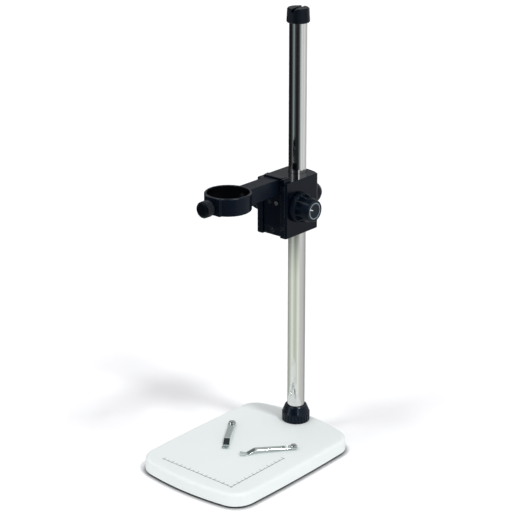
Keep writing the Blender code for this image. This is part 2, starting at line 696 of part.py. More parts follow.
# ---------------------------------------------------------------- arm and ring
ARM_HALF_W = 7.4
RING_BOSS_HALF_W, RING_BOSS_FRONT = 9.0, -114.3


def make_arm():
    arm = box("support_arm", (-ARM_HALF_W, ARM_HALF_W), (-76.0, SLIDE_FRONT - 0.3),
              (ARM_Z0, ARM_Z1), coll=PARTS)
    bevel(arm, 0.4)
    drill(arm, "arm_end", RING_OUTER_R + 0.3, (ARM_Z0 - 3.0, ARM_Z1 + 3.0), "Z", (0, RING_Y), 72)
    for end, z in ARM_SCREW_Z.items():
        drill(arm, "arm_thread_" + end, 1.8, (-44.0, -30.0), "Y", (0, z), 10)
        cap_screw("arm_screw_" + end, "steel", head_r=2.7, head_h=2.6, shank_r=1.45,
                  length=15.0, axis="Y", at=(0, -28.3, z))
    drill(arm, "ring_thread", 1.8, (-80.0, -65.0), "Y", RING_SCREW_LINE, 10)
    finish(arm, "black")


def make_ring():
    """Ring with a square boss at the front for the thumbscrew."""
    outer, inner = RING_OUTER_R, RING_INNER_R
    ring = turned("ring_holder", "black",
                  [(inner + 0.5, RING_Z1), (outer - 0.7, RING_Z1), (outer, RING_Z1 - 0.7),
                   (outer, RING_Z0 + 0.7), (outer - 0.7, RING_Z0), (inner + 0.4, RING_Z0),
                   (inner, RING_Z0 + 0.4), (inner, RING_Z1 - 0.5)], 72, (0, RING_Y, 0))
    boss = box("add_ring_boss", (-RING_BOSS_HALF_W, RING_BOSS_HALF_W),
               (RING_BOSS_FRONT, RING_Y - 15.0), (RING_Z0 + 0.05, RING_Z1 - 0.05))
    bevel(boss, 0.5)
    drill(boss, "ring_clear", inner + 0.9, (RING_Z0 - 3.0, RING_Z1 + 3.0), "Z", (0, RING_Y), 72)
    cut(ring, boss, "UNION")
    back = RING_Y + 10.0    # start of the cutters through the ring's back wall
    drill(ring, "thumb_hole", 2.35, (-130.0, RING_Y - 10.0), "Y", (0, THUMB_Z), 16)
    drill(ring, "ring_hole", 1.8, (back, RING_Y + 25.0), "Y", RING_SCREW_LINE, 10)
    drill(ring, "ring_sink", 2.4, (back, RING_Y + inner + 1.0), "Y", RING_SCREW_LINE, 16)
    shade_by_angle(ring)
    turned("ring_screw", "steel",
           [(0, 8.0), (1.1, 8.0), (1.45, 7.6), (1.45, 1.2), (2.0, 0.7), (2.0, 0.25),
            (1.8, 0.0), (0.8, 0.0), (0.8, 0.9), (0, 0.9)],
           14, (0, RING_Y + inner, RING_SCREW_LINE[1]), "Y")


# ---------------------------------------------------------------- thumbscrew
THUMB_R = 7.3
THUMB_NEAR, THUMB_FAR = 118.5, 126.8        # knob ends, distances to the front


def make_thumbscrew():
    ring_wall = (0, RING_Y - RING_INNER_R, THUMB_Z)
    turned("thumb_tip", "brass", [(0, 2.0), (2.0, 2.0), (2.0, 0.7), (1.6, 0.3), (0, 0.3)],
           14, ring_wall, "-Y")
    turned("thumb_screw", "chrome", bar(0, 2.0, 2.3, 12.0), 16, ring_wall, "-Y")
    near, far = THUMB_NEAR, THUMB_FAR
    centre = (0, 0, THUMB_Z)
    knob = turned("thumb_knob", "black",
                  [(0, far - 0.15), (4.6, far), (5.9, far - 0.15), (THUMB_R - 0.2, far - 1.0),
                   (THUMB_R, far - 1.4), (THUMB_R, near + 0.6), (THUMB_R - 0.4, near),
                   (2.35, near), (2.35, 124.3), (0, 124.3)], 32, centre, "-Y")
    tool = rod("tmp", 0.5, (-far - 1.0, -near + 1.0), "Y", (THUMB_R + 0.1, THUMB_Z), 5)
    cut_flutes(knob, "cut_thumb_flutes", tool, 20, centre, "Y")


# ---------------------------------------------------------------- stage clips
CLIP_ANGLE = math.radians(34.2)     # inwards from -Y
CLIP_T = 0.8
CLIP_Z = PLATE_TOP + 2.0            # middle of the strip at the eye
CLIP_EYE_R = 3.8
# (distance from the pivot, height, half width) along the strip
CLIP_STATIONS = [
    (0.0, 0.0, CLIP_EYE_R), (4.5, 0.05, 3.0), (35.0, 2.25, 2.75), (36.0, 2.1, 2.8),
    (42.8, -1.15, 3.05), (43.6, -1.3, 3.1), (44.4, -1.2, 3.15), (49.6, 0.2, 3.1),
]


def clip_mesh(name):
    """Middle surface of the strip: rising from the eye, bent down, upturned toe."""
    bm = bmesh.new()
    rows = [[bm.verts.new(Vector((sign * half_w, -run, height)) * MM) for sign in (-1, 1)]
            for run, height, half_w in CLIP_STATIONS]
    for near, far in zip(rows, rows[1:]):
        bm.faces.new((near[0], near[1], far[1], far[0]))
    # round eye behind the pivot
    arc = [rows[0][1]]
    for i in range(1, 6):
        angle = math.pi * i / 6
        rim = Vector((CLIP_EYE_R * math.cos(angle), CLIP_EYE_R * math.sin(angle), 0.0))
        arc.append(bm.verts.new(rim * MM))
    arc.append(rows[0][0])
    bm.faces.new(arc)
    bmesh.ops.recalc_face_normals(bm, faces=bm.faces)
    mesh = bpy.data.meshes.new(name)
    bm.to_mesh(mesh)
    bm.free()
    return mesh


def make_stage_clip(side, sign):
    name = "stage_clip_" + side
    x, y = CLIP_POS[side]
    strip = mesh_object(name, clip_mesh(name))
    strip.location = metres((x, y, CLIP_Z))
    strip.rotation_euler = (0.0, 0.0, -sign * CLIP_ANGLE)
    gauge = strip.modifiers.new("gauge", "SOLIDIFY")
    gauge.thickness = CLIP_T * MM
    gauge.offset = 0.0
    gauge.use_even_offset = True
    bevel(strip, 0.15, 1, 50)
    drill(strip, "eye_" + name, 1.95, (-5.0, 40.0), "Z", (x, y), 12)
    finish(strip, "chrome")

    turned("clip_washer_" + side, "chrome", on_plate(bar(1.95, 3.3, 0.3, 1.3)), 20, (x, y, 0))
    screw = turned("clip_screw_" + side, "chrome",
                   on_plate([(0, 4.4), (0.9, 4.35), (2.2, 4.1), (3.0, 3.6), (3.2, 3.1),
                             (3.2, 2.7), (1.6, 2.7), (1.6, 0.9), (1.2, 0.7), (1.2, -8.0),
                             (0, -8.0)]), 20, (x, y, 0))
    slot = box("cut_clip_slot_" + side, (x - 0.4, x + 0.4), (y - 5.0, y + 5.0),
               (PLATE_TOP + 3.7, PLATE_TOP + 6.0))
    slot.rotation_euler = (0, 0, math.radians(35 * sign))
    cut(screw, slot)


# ---------------------------------------------------------------- shared frame
def centre_stand():
    """Move the origin from the column axis to the middle of the stand.

    That is the middle of the plate in x, and half way from its front edge to
    the end of the clamp knob in y.
    """
    middle_y = (PLATE_FRONT_Y + CLAMP_KNOB_Y1) / 2
    for obj in list(PARTS.objects) + list(CUTS.objects):
        obj.location.x -= PLATE_MID_X * MM
        obj.location.y -= middle_y * MM


make_base_plate()
make_feet()
make_column()
make_collar_nut()
make_top_cap()
make_housing()
make_gib_rail()
make_stop_plate()
make_bushes()
make_slide()
make_rack()
make_pinion()
for knob_side, knob_sign in SIDES:
    make_focus_knob(knob_side, knob_sign)
make_column_clamp()
make_arm()
make_ring()
make_thumbscrew()
for clip_side, clip_sign in SIDES:
    make_stage_clip(clip_side, clip_sign)
centre_stand()
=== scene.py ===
"""Looks for the pillar stand: materials, printed scale, index marks, lights and camera."""

import math

import bmesh
import bpy
from mathutils import Matrix, Vector


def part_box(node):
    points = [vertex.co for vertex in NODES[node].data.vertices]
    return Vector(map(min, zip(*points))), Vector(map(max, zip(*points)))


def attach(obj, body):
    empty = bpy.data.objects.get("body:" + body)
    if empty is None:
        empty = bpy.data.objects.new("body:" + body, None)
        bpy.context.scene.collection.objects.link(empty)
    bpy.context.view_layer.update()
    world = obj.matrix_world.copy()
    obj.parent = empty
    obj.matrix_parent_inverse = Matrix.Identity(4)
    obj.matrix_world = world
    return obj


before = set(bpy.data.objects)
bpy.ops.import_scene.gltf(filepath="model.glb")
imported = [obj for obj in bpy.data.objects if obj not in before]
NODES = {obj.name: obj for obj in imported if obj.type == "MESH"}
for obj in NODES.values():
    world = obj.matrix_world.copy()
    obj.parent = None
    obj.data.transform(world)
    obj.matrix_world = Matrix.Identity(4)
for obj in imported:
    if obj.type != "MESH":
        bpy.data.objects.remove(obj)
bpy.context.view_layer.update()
SCENE = bpy.context.scene
COLL = SCENE.collection
MM = 0.001
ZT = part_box("base_plate")[1].z          # top of the plate
COL_X = (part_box("column_tube")[0].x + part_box("column_tube")[1].x) / 2     # column axis
COL_Y = (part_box("column_tube")[0].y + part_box("column_tube")[1].y) / 2
SCENE.view_settings.view_transform = "Standard"
SCENE.view_settings.look = "None"


# ---------------------------------------------------------------- node helpers
class Tree:
    def __init__(self, name):
        self.mat = bpy.data.materials.new(name)
        self.mat.use_nodes = True
        self.t = self.mat.node_tree
        self.bsdf = self.t.nodes["Principled BSDF"]
        self.out = self.t.nodes["Material Output"]
        tc = self.t.nodes.new("ShaderNodeTexCoord")
        self.obj = tc.outputs["Object"]

    def n(self, kind, **props):
        node = self.t.nodes.new(kind)
        ins = props.pop("ins", {})
        for k, v in props.items():
            setattr(node, k, v)
        for k, v in ins.items():
            if hasattr(v, "is_linked") or isinstance(v, bpy.types.NodeSocket):
                self.t.links.new(v, node.inputs[k])
            else:
                node.inputs[k].default_value = v
        return node

    def link(self, a, b):
        self.t.links.new(a, b)

    def set(self, **vals):
        for k, v in vals.items():
            key = k.replace("_", " ")
            sock = self.bsdf.inputs[key]
            if isinstance(v, bpy.types.NodeSocket):
                self.t.links.new(v, sock)
            else:
                sock.default_value = v

    def scaled(self, sx, sy, sz):
        m = self.n("ShaderNodeMapping", ins={"Vector": self.obj})
        m.inputs["Scale"].default_value = (sx, sy, sz)
        return m.outputs["Vector"]

    def noise(self, scale, detail=3.0, rough=0.55, vec=None, out="Fac"):
        t = self.n("ShaderNodeTexNoise", ins={"Vector": vec or self.obj, "Scale": scale, "Detail": detail, "Roughness": rough})
        return t.outputs[out]

    def rng(self, fac, a, b, lo=0.0, hi=1.0):
        m = self.n("ShaderNodeMapRange", ins={"Value": fac, "From Min": lo, "From Max": hi, "To Min": a, "To Max": b})
        return m.outputs["Result"]

    def math(self, op, a, b=None, clamp=False):
        m = self.n("ShaderNodeMath", operation=op, use_clamp=clamp)
        for i, v in enumerate((a, b)):
            if v is None:
                continue
            if isinstance(v, bpy.types.NodeSocket):
                self.t.links.new(v, m.inputs[i])
            else:
                m.inputs[i].default_value = v
        return m.outputs[0]

    def mix(self, fac, a, b):
        m = self.n("ShaderNodeMix", data_type="RGBA")
        for key, v in (("Factor", fac), ("A", a), ("B", b)):
            sock = [s for s in m.inputs if s.name == key and (s.type == "RGBA" or key == "Factor")][0]
            if isinstance(v, bpy.types.NodeSocket):
                self.t.links.new(v, sock)
            else:
                sock.default_value = v if key == "Factor" else (*v, 1.0)
        return [s for s in m.outputs if s.type == "RGBA"][0]

    def up(self, side, top):
        """One value on upright faces, another on faces that look up."""
        g = self.n("ShaderNodeNewGeometry")
        sep = self.n("ShaderNodeSeparateXYZ", ins={0: g.outputs["Normal"]})
        return self.rng(sep.outputs["Z"], side, top, 0.35, 0.9)

    def bevel(self, radius_mm, samples=6):
        return self.n("ShaderNodeBevel", samples=samples, ins={"Radius": radius_mm * MM}).outputs["Normal"]

    def edge(self, radius_mm, gain=6.0):
        """1 on convex and concave edges, 0 on flats."""
        g = self.n("ShaderNodeNewGeometry")
        d = self.n("ShaderNodeVectorMath", operation="DOT_PRODUCT", ins={0: self.bevel(radius_mm), 1: g.outputs["Normal"]})
        inv = self.math("SUBTRACT", 1.0, d.outputs["Value"])
        return self.math("MULTIPLY", inv, gain, clamp=True)

    def bump(self, height, dist_mm, strength=1.0, normal=None):
        b = self.n("ShaderNodeBump", ins={"Height": height, "Distance": dist_mm * MM, "Strength": strength})
        if normal is not None:
            self.link(normal, b.inputs["Normal"])
        return b.outputs["Normal"]


def powder_white(name, rgb=(0.790, 0.832, 0.832)):
    t = Tree(name)
    cloud = t.noise(14.0, 2.0)
    col = t.mix(t.rng(cloud, 0.0, 1.0, 0.35, 0.65), tuple(c * 0.985 for c in rgb), rgb)
    t.set(Base_Color=col, Metallic=0.0, Specular_IOR_Level=0.22)
    peel = t.noise(900.0, 2.0)
    fine = t.noise(3800.0, 2.0)
    mixed = t.math("ADD", t.math("MULTIPLY", peel, 0.7), t.math("MULTIPLY", fine, 0.3))
    t.set(Roughness=t.rng(peel, 0.34, 0.46), Normal=t.bump(mixed, 0.02, 0.5, t.bevel(0.6)))
    return t.mat


def black_anodised(name, rgb=(0.0044, 0.0100, 0.0215), rough=(0.30, 0.42), grain="none", spec=0.11, top=0.36, edge=0.5, bevel=0.35, inside=None,
                   tint=(0.70, 0.82, 1.0), top_rough=None, depth=0.012):
    """Satin black aluminium: fine bead texture; edges painted lighter, partly ragged wear and partly a painted
    highlight; sheen set apart for upright faces and faces that look up, a painted highlight and shade by facing.
    """
    t = Tree(name)
    cloud = t.noise(60.0, 4.0)
    base = t.mix(t.rng(cloud, 0.0, 1.0, 0.3, 0.7), tuple(c * 0.86 for c in rgb), tuple(c * 1.12 for c in rgb))
    e = t.edge(bevel, 5.0)
    ragged = t.math("MULTIPLY", e, t.rng(t.noise(700.0, 3.0), 0.25, 1.0, 0.35, 0.7))
    if inside:                      # (x, y, radius): inside this bore the colour is painted near black and the sheen cut, a painted shade
        v = t.n("ShaderNodeVectorMath", operation="SUBTRACT", ins={0: t.obj, 1: (inside[0], inside[1], 0.0)})
        flat = t.n("ShaderNodeVectorMath", operation="MULTIPLY", ins={0: v.outputs["Vector"], 1: (1.0, 1.0, 0.0)})
        rad = t.n("ShaderNodeVectorMath", operation="LENGTH", ins={0: flat.outputs["Vector"]}).outputs["Value"]
        deep = t.math("LESS_THAN", rad, inside[2])
        base = t.mix(deep, base, (0.0016, 0.0018, 0.0026))
        keep = t.math("SUBTRACT", 1.0, t.math("MULTIPLY", deep, 0.85))
    # edges painted lighter: ragged wear and a painted highlight along the edges
    edge_wear_and_highlight = t.mix(t.math("MULTIPLY", ragged, edge), base, (0.078, 0.098, 0.112))
    t.link(edge_wear_and_highlight, t.bsdf.inputs["Base Color"])
    bead = t.noise(2600.0, 2.0)
    rr = t.noise(90.0, 3.0)
    # painted highlight and shade by facing: the sheen on upright faces and on faces that look up is set apart
    shine = t.up(spec, top)
    if inside:
        shine = t.math("MULTIPLY", shine, keep)
    grit = t.rng(rr, rough[0], rough[1], 0.3, 0.7)
    if top_rough:
        grit = t.math("MULTIPLY", grit, t.up(1.0, top_rough))
    t.set(Metallic=0.0, Specular_IOR_Level=shine, Specular_Tint=(*tint, 1.0), Roughness=grit)
    h = bead
    dist = depth
    if grain == "rings":            # turning marks, stacked along Z
        w = t.noise(1.0, 3.0, 0.6, t.scaled(3.0, 3.0, 2300.0))
        h = t.math("ADD", t.math("MULTIPLY", w, 0.8), t.math("MULTIPLY", bead, 0.2))
        dist = 0.022
    elif grain == "length":         # milling lines along Z
        w = t.noise(1.0, 3.0, 0.6, t.scaled(1300.0, 1300.0, 12.0))
        h = t.math("ADD", t.math("MULTIPLY", w, 0.35), t.math("MULTIPLY", bead, 0.65))
    t.set(Normal=t.bump(h, dist, 0.7, t.bevel(bevel)))
    return t.mat


def moulded_black(name, rgb=(0.0050, 0.0070, 0.0105), rough=(0.26, 0.38), spec=0.22, top=0.45, bevel=0.3, edge=0.35, hollow=0.0):
    t = Tree(name)
    cloud = t.noise(120.0, 3.0)
    base = t.mix(t.rng(cloud, 0.0, 1.0, 0.3, 0.7), tuple(c * 0.85 for c in rgb), tuple(c * 1.15 for c in rgb))
    # edges painted lighter: a painted highlight along the edges
    e = t.edge(bevel, 4.0)
    t.link(t.mix(t.math("MULTIPLY", e, edge), base, (0.052, 0.066, 0.078)), t.bsdf.inputs["Base Color"])
    grain = t.noise(1900.0, 3.0)
    # painted highlight and shade by facing: the sheen on upright faces and on faces that look up is set apart
    shine = t.up(spec, top)
    if hollow:                      # painted shade: less sheen down in the flutes
        ao = t.n("ShaderNodeAmbientOcclusion", samples=6, ins={"Distance": hollow * MM}).outputs["AO"]
        shine = t.math("MULTIPLY", shine, t.math("POWER", ao, 2.5))
    t.set(Metallic=0.0, Specular_IOR_Level=shine, Specular_Tint=(0.72, 0.84, 1.0, 1.0), Roughness=t.rng(t.noise(200.0, 2.0), rough[0], rough[1], 0.3, 0.7),
          Normal=t.bump(grain, 0.015, 0.6, t.bevel(bevel)))
    return t.mat


def metal(name, rgb, rough=(0.08, 0.16), brush=(900.0, 900.0, 900.0), depth=0.004, bevel=0.2, tint=0.06):
    t = Tree(name)
    lines = t.noise(1.0, 4.0, 0.6, t.scaled(*brush))
    cloud = t.noise(35.0, 3.0)
    col = t.mix(t.rng(cloud, 0.0, 1.0, 0.3, 0.7), tuple(c * (1 - tint) for c in rgb), rgb)
    t.link(col, t.bsdf.inputs["Base Color"])
    t.set(Metallic=1.0, Roughness=t.rng(t.math("ADD", t.math("MULTIPLY", lines, 0.6), t.math("MULTIPLY", cloud, 0.4)), rough[0], rough[1], 0.3, 0.7),
          Normal=t.bump(lines, depth, 0.6, t.bevel(bevel)))
    return t.mat


def plain_soft(name, rgb, rough, bumps, depth, spec=0.3):
    t = Tree(name)
    g = t.noise(bumps, 4.0)
    col = t.mix(t.rng(t.noise(bumps / 12.0, 3.0), 0.0, 1.0, 0.3, 0.7), tuple(c * 0.85 for c in rgb), rgb)
    t.link(col, t.bsdf.inputs["Base Color"])
    t.set(Metallic=0.0, Specular_IOR_Level=spec, Roughness=t.rng(g, rough - 0.06, rough + 0.06), Normal=t.bump(g, depth, 0.7, t.bevel(0.2)))
    return t.mat


def wear(node, mat):
    o = NODES[node]
    o.data.materials.clear()
    o.data.materials.append(mat)
    return o


# ---------------------------------------------------------------- materials on the CAD nodes
wear("base_plate", powder_white("white_powder_coat"))
rubber = plain_soft("foot_rubber", (0.022, 0.022, 0.023), 0.8, 1400.0, 0.03)
for n in ("front_left", "front_right", "rear_left", "rear_right"):
    wear("foot_" + n, rubber)

# polished tube: fine rings left by the polishing belt
wear("column_tube", metal("polished_tube", (0.80, 0.805, 0.79), (0.055, 0.11), (14.0, 14.0, 2600.0), 0.0016, 0.3, 0.03))

housing = black_anodised("carriage_black", rgb=(0.0008, 0.0020, 0.0056), rough=(0.19, 0.27), spec=0.20, top=0.15, edge=0.8, top_rough=0.42, depth=0.004)
for n in ("carriage_housing", "gib_rail", "stop_plate"):
    wear(n, housing)
wear("slide", black_anodised("slide_black", rgb=(0.0016, 0.0028, 0.0066), grain="length", spec=0.05))
wear("support_arm", black_anodised("arm_black", rgb=(0.0028, 0.0056, 0.0116), spec=0.20, top=0.13, edge=0.8, rough=(0.26, 0.38)))
lo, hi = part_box("ring_holder")
ring_mid = NODES["ring_holder"].matrix_world.inverted() @ Vector(((lo.x + hi.x) / 2, hi.y - 20.6 * MM, hi.z))
wear("ring_holder", black_anodised("ring_black", grain="rings", rgb=(0.0026, 0.0048, 0.0104), rough=(0.22, 0.32), spec=0.17, edge=0.9,
                                   inside=(ring_mid.x, ring_mid.y, 18.7 * MM)))
wear("thumb_knob", black_anodised("thumb_black", rgb=(0.0012, 0.0018, 0.0034), rough=(0.20, 0.30), spec=0.20, edge=1.0, bevel=0.22))
collar_mat = moulded_black("collar_black", (0.0022, 0.0046, 0.0100), (0.18, 0.28), 0.24, hollow=1.6)
wear("collar_nut", collar_mat)
wear("top_cap", moulded_black("cap_black", (0.0010, 0.0026, 0.0056), (0.16, 0.26), 0.24, 0.07))
knob_mat = moulded_black("knob_black", (0.0024, 0.0050, 0.0100), (0.26, 0.38), 0.09, 0.11, hollow=1.4)
for side in ("left", "right"):
    wear("focus_knob_" + side, knob_mat)
    wear("knob_trim_ring_" + side, black_anodised("trim_" + side, rgb=(0.0030, 0.0052, 0.0092), rough=(0.16, 0.26), spec=0.22, edge=1.0, bevel=0.3))
    wear("knob_face_" + side, moulded_black("face_" + side, (0.0085, 0.0125, 0.0195), (0.34, 0.46), 0.18, 0.4, 0.15, 0.2))
wear("clamp_knob", moulded_black("clamp_black", (0.0050, 0.0070, 0.0110), (0.30, 0.42), 0.15))

chrome = metal("clip_chrome", (0.88, 0.98, 0.955), (0.11, 0.20), (260.0, 2200.0, 260.0), 0.004, 0.15)
for side in ("left", "right"):
    wear("stage_clip_" + side, chrome)
    wear("clip_washer_" + side, metal("washer_" + side, (0.55, 0.60, 0.60), (0.12, 0.22)))
    wear("clip_screw_" + side, metal("clip_head_" + side, (0.66, 0.70, 0.70), (0.08, 0.16)))
    # the two slide screws are alike; the left one is painted near black, a painted shade, the right one grey
    wear("rack_screw_" + side, metal("slide_screw_" + side, (0.36, 0.35, 0.33) if side == "right" else (0.08, 0.09, 0.11), (0.18, 0.30)))
dark_steel = metal("dark_screw", (0.050, 0.056, 0.066), (0.30, 0.42), (1500.0, 1500.0, 1500.0), 0.004)
steel = metal("plain_steel", (0.50, 0.51, 0.52), (0.24, 0.36), (1200.0, 1200.0, 1200.0), 0.004)
brass = metal("brass", (0.72, 0.52, 0.21), (0.22, 0.34), (1200.0, 1200.0, 1200.0), 0.004)
nylon = plain_soft("nylon", (0.70, 0.68, 0.60), 0.5, 1600.0, 0.01)
for n in ("gib_screw_upper", "gib_screw_lower", "stop_plate_screw", "ring_screw"):
    wear(n, dark_steel)
for n in ("column_plug", "column_bolt", "column_washer", "arm_screw_upper", "arm_screw_lower", "pinion_shaft",
          "rack", "clamp_screw", "thumb_screw"):
    wear(n, steel)
for n in ("pinion_gear", "shaft_bush_left", "shaft_bush_right", "thumb_tip"):
    wear(n, brass)
for n in ("bore_bush_lower", "bore_bush_upper", "clamp_pad"):
    wear(n, nylon)

SMOOTH = {"base_plate": 40, "column_tube": 35, "ring_holder": 30, "collar_nut": 30, "top_cap": 30, "focus_knob_left": 32,
          "focus_knob_right": 32, "clamp_knob": 32, "thumb_knob": 30, "carriage_housing": 30}
for name, o in NODES.items():
    o.data.shade_smooth()
    o.data.set_sharp_from_angle(angle=math.radians(SMOOTH.get(name, 30)))


# ---------------------------------------------------------------- printed scale and index marks
def boxes_mesh(name, items):
    """One mesh of closed bars: (centre, half sizes, turn about Z)."""
    bm = bmesh.new()
    for c, h, turn in items:
        m = Matrix.Translation(c) @ Matrix.Rotation(turn, 4, "Z") @ Matrix.Diagonal((2 * h[0], 2 * h[1], 2 * h[2], 1.0))
        bmesh.ops.create_cube(bm, size=1.0, matrix=m)
    me = bpy.data.meshes.new(name)
    bm.to_mesh(me)
    bm.free()
    o = bpy.data.objects.new(name, me)
    COLL.objects.link(o)
    return o


SX, SY = 43.5, -139.7           # corner of the L, from the column axis
INK_T = 0.03
z_ink = ZT + 0.045 * MM


def ink(x0, x1, y0, y1):
    return (Vector((COL_X + (x0 + x1) / 2 * MM, COL_Y + (y0 + y1) / 2 * MM, z_ink)),
            ((x1 - x0) / 2 * MM, (y1 - y0) / 2 * MM, INK_T * MM / 2), 0.0)


W = 0.55
TICK = 0.22                     # half width of a tick
bars = [ink(SX - 81.5, SX + 1.2, SY - W / 2, SY + W / 2), ink(SX - W / 2, SX + W / 2, SY - 1.4, SY + 71.0)]
for i in range(0, 81, 1):
    if i == 0:
        continue
    long = 3.0 if i % 10 == 0 else (2.0 if i % 5 == 0 else None)
    if long:
        tail = 1.0 if i % 10 == 0 else 0.0
        bars.append(ink(SX - i - TICK, SX - i + TICK, SY - tail, SY + long))
        if i <= 70:
            bars.append(ink(SX - long, SX + tail, SY + i - TICK, SY + i + TICK))
scale = boxes_mesh("scale_print", bars)
t = Tree("scale_ink")
t.link(t.mix(t.noise(700.0, 3.0), (0.09, 0.10, 0.12), (0.16, 0.17, 0.19)), t.bsdf.inputs["Base Color"])
t.set(Roughness=t.rng(t.noise(1500.0), 0.45, 0.62), Specular_IOR_Level=0.3, Normal=t.bump(t.noise(2500.0), 0.004))
scale.data.materials.append(t.mat)
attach(scale, "base")

# white index lines on the focus knobs
tw = Tree("index_white")
tw.link(tw.mix(tw.noise(900.0, 3.0), (0.62, 0.64, 0.66), (0.80, 0.82, 0.84)), tw.bsdf.inputs["Base Color"])
tw.set(Roughness=tw.rng(tw.noise(1800.0), 0.35, 0.5), Normal=tw.bump(tw.noise(2500.0), 0.004))
PIN = Vector((COL_X, COL_Y - 18.6 * MM, ZT + 216.2 * MM))
R0, R1 = 3.2, 7.5                # from the face out across the inlaid ring
RING_IN, RING_OUT = 6.5, 7.6     # bright ring let into the knob's face
for s, side in ((1, "right"), (-1, "left")):
    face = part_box("knob_face_" + side)
    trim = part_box("knob_trim_ring_" + side)
    x0 = (face[1].x if s > 0 else -face[0].x)
    x1 = (trim[1].x if s > 0 else -trim[0].x) + 0.06 * MM
    ang = math.radians(23)
    d = Vector((0.0, -math.cos(ang), math.sin(ang)))
    bm = bmesh.new()
    bmesh.ops.create_cube(bm, size=1.0, matrix=Matrix.Diagonal((x1 - x0, (R1 - R0) * MM, 0.7 * MM, 1.0)))
    me = bpy.data.meshes.new("index_line_" + side)
    bm.to_mesh(me)
    bm.free()
    line = bpy.data.objects.new("index_line_" + side, me)
    COLL.objects.link(line)
    line.location = Vector((s * (x0 + x1) / 2, PIN.y, PIN.z)) + d * (R0 + R1) / 2 * MM
    line.rotation_euler = (-ang, 0.0, 0.0)
    line.data.materials.append(tw.mat)
    b = line.modifiers.new("edge", "BEVEL")
    b.width = 0.03 * MM
    b.segments = 2
    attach(line, "focus_knobs")
    # a thin bright ring on the face, turned with rounded shoulders
    rise = 0.22
    profile = [(RING_IN, -0.15), (RING_OUT, -0.15), (RING_OUT, rise - 0.08), (RING_OUT - 0.08, rise),
               (RING_IN + 0.08, rise), (RING_IN, rise - 0.08)]
    bm = bmesh.new()
    rows = []
    for k in range(64):
        a = 2 * math.pi * k / 64
        rows.append([bm.verts.new((s * h * MM, rad * math.cos(a) * MM, rad * math.sin(a) * MM)) for rad, h in profile])
    for k in range(64):
        for j in range(len(profile)):
            bm.faces.new((rows[k][j], rows[k][(j + 1) % 6], rows[(k + 1) % 64][(j + 1) % 6], rows[(k + 1) % 64][j]))
    bmesh.ops.recalc_face_normals(bm, faces=bm.faces)
    me = bpy.data.meshes.new("face_ring_" + side)
    bm.to_mesh(me)
    bm.free()
    ring = bpy.data.objects.new("face_ring_" + side, me)
    COLL.objects.link(ring)
    ring.location = Vector((s * x0, PIN.y, PIN.z))
    ring.data.shade_smooth()
    ring.data.set_sharp_from_angle(angle=math.radians(35))
    ring.data.materials.append(metal("face_ring_" + side, (0.36, 0.43, 0.49), (0.18, 0.28), (900.0, 900.0, 900.0), 0.003))
    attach(ring, "focus_knobs")


# ---------------------------------------------------------------- floor, world and lights
def ramp_nodes(nt, fac, stops):
    r = nt.nodes.new("ShaderNodeValToRGB")
    r.color_ramp.interpolation = "EASE"
    els = r.color_ramp.elements
    while len(els) > 1:
        els.remove(els[-1])
    first = True
    for pos, val in stops:
        e = els[0] if first else els.new(pos)
        e.position = pos
        col = val if isinstance(val, tuple) else (val, val, val)
        e.color = (*col, 1.0)
        first = False
    nt.links.new(fac, r.inputs["Fac"])
    return r.outputs["Color"]


def around(nt, vec):
    """0..1 round the compass from -X through -Y and +X, from a direction or point."""
    sep = nt.nodes.new("ShaderNodeSeparateXYZ")
    nt.links.new(vec, sep.inputs[0])
    at = nt.nodes.new("ShaderNodeMath")
    at.operation = "ARCTAN2"
    nt.links.new(sep.outputs["Y"], at.inputs[0])
    nt.links.new(sep.outputs["X"], at.inputs[1])
    m = nt.nodes.new("ShaderNodeMapRange")
    m.inputs["From Min"].default_value = -math.pi
    m.inputs["From Max"].default_value = math.pi
    nt.links.new(at.outputs[0], m.inputs["Value"])
    return m.outputs["Result"], sep.outputs["Z"]


def deg(a):
    return (a + 180.0) / 360.0


FAR = [(deg(-180), 0.01), (deg(-140), 0.012), (deg(-124), (0.050, 0.060, 0.064)), (deg(-107), (0.275, 0.325, 0.345)),
       (deg(-93), (0.125, 0.150, 0.158)), (deg(-79), 0.03), (deg(-58), 0.01), (deg(-42), 0.022), (deg(-26), (0.095, 0.112, 0.122)),
       (deg(-12), (0.50, 0.535, 0.55)), (deg(4), 0.77), (deg(18), 0.66), (deg(32), 0.72), (deg(47), 0.86), (deg(62), 0.62),
       (deg(95), 0.50), (deg(118), 0.38), (deg(132), 0.12), (deg(150), 0.01)]
NEAR = [(deg(-180), (0.42, 0.45, 0.41)), (deg(-145), (0.50, 0.54, 0.47)), (deg(-128), (0.71, 0.74, 0.66)),
        (deg(-112), (0.89, 0.92, 0.85)), (deg(-97), (0.79, 0.83, 0.74)), (deg(-84), (0.63, 0.67, 0.58)),
        (deg(-66), (0.56, 0.60, 0.51)), (deg(-50), (0.69, 0.73, 0.63)), (deg(-36), (0.92, 0.95, 0.88)),
        (deg(-20), (0.80, 0.83, 0.79)), (deg(-2), (0.64, 0.635, 0.62)), (deg(24), (0.63, 0.625, 0.61)),
        (deg(46), 0.57), (deg(62), 0.46), (deg(95), 0.36), (deg(130), 0.36)]

